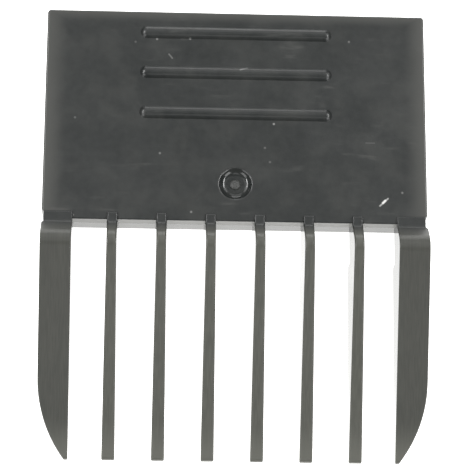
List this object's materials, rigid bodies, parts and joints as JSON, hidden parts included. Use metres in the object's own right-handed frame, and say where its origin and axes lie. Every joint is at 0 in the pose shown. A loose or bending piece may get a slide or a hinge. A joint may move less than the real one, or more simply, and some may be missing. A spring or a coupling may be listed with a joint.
{
  "type": "clipper guard comb",
  "caption": "Clip-on hair clipper guard comb: black moulded plate with grip ridges, narrow comb teeth between two wide curved outer teeth, and a rear latch.",
  "frame": {"origin": "centre of the comb's outline at the level of the rails that it rests on, blade side down", "axes": "+X to the comb's right seen from the skin side with the teeth towards the viewer, -Y along the teeth towards their tips, +Z away from the blade, out of the skin side"},
  "size_m": [0.045, 0.0534, 0.0095],
  "materials": {
    "plate_plastic": "semi-gloss black moulded plastic, lightly scuffed",
    "tooth_plastic": "satin black moulded plastic, polished by use",
    "inner_plastic": "fine matt moulded black plastic",
    "latch_plastic": "fine matt moulded black plastic",
    "gate_scar": "rough broken gate stub"
  },
  "bodies": {
    "comb": {"top_plate": "plate_plastic", "front_wall": "inner_plastic", "rear_wall_left": "inner_plastic", "rear_wall_right": "inner_plastic", "side_wall_left": "inner_plastic", "side_wall_right": "inner_plastic", "blade_rail_left": "inner_plastic", "blade_rail_right": "inner_plastic", "seat_rib_1": "inner_plastic", "seat_rib_2": "inner_plastic", "seat_rib_3": "inner_plastic", "seat_rib_4": "inner_plastic", "grip_ridge_1": "plate_plastic", "grip_ridge_2": "plate_plastic", "grip_ridge_3": "plate_plastic", "gate_mark": "gate_scar", "comb_tooth_1": "tooth_plastic", "comb_tooth_2": "tooth_plastic", "comb_tooth_3": "tooth_plastic", "comb_tooth_4": "tooth_plastic", "comb_tooth_5": "tooth_plastic", "comb_tooth_6": "tooth_plastic", "outer_tooth_left": "tooth_plastic", "outer_tooth_right": "tooth_plastic"},
    "latch": {"latch_tongue": "latch_plastic", "latch_hook": "latch_plastic", "latch_bead": "latch_plastic"}
  },
  "joints": [
    {"name": "latch_flex", "type": "hinge", "parent": "comb", "child": "latch", "pos_m": [0, 0.02576, 0.00532], "axis": [1, 0, 0], "range_deg": [0, 8], "stiffness_Nm_per_rad": 0.3}
  ]
}
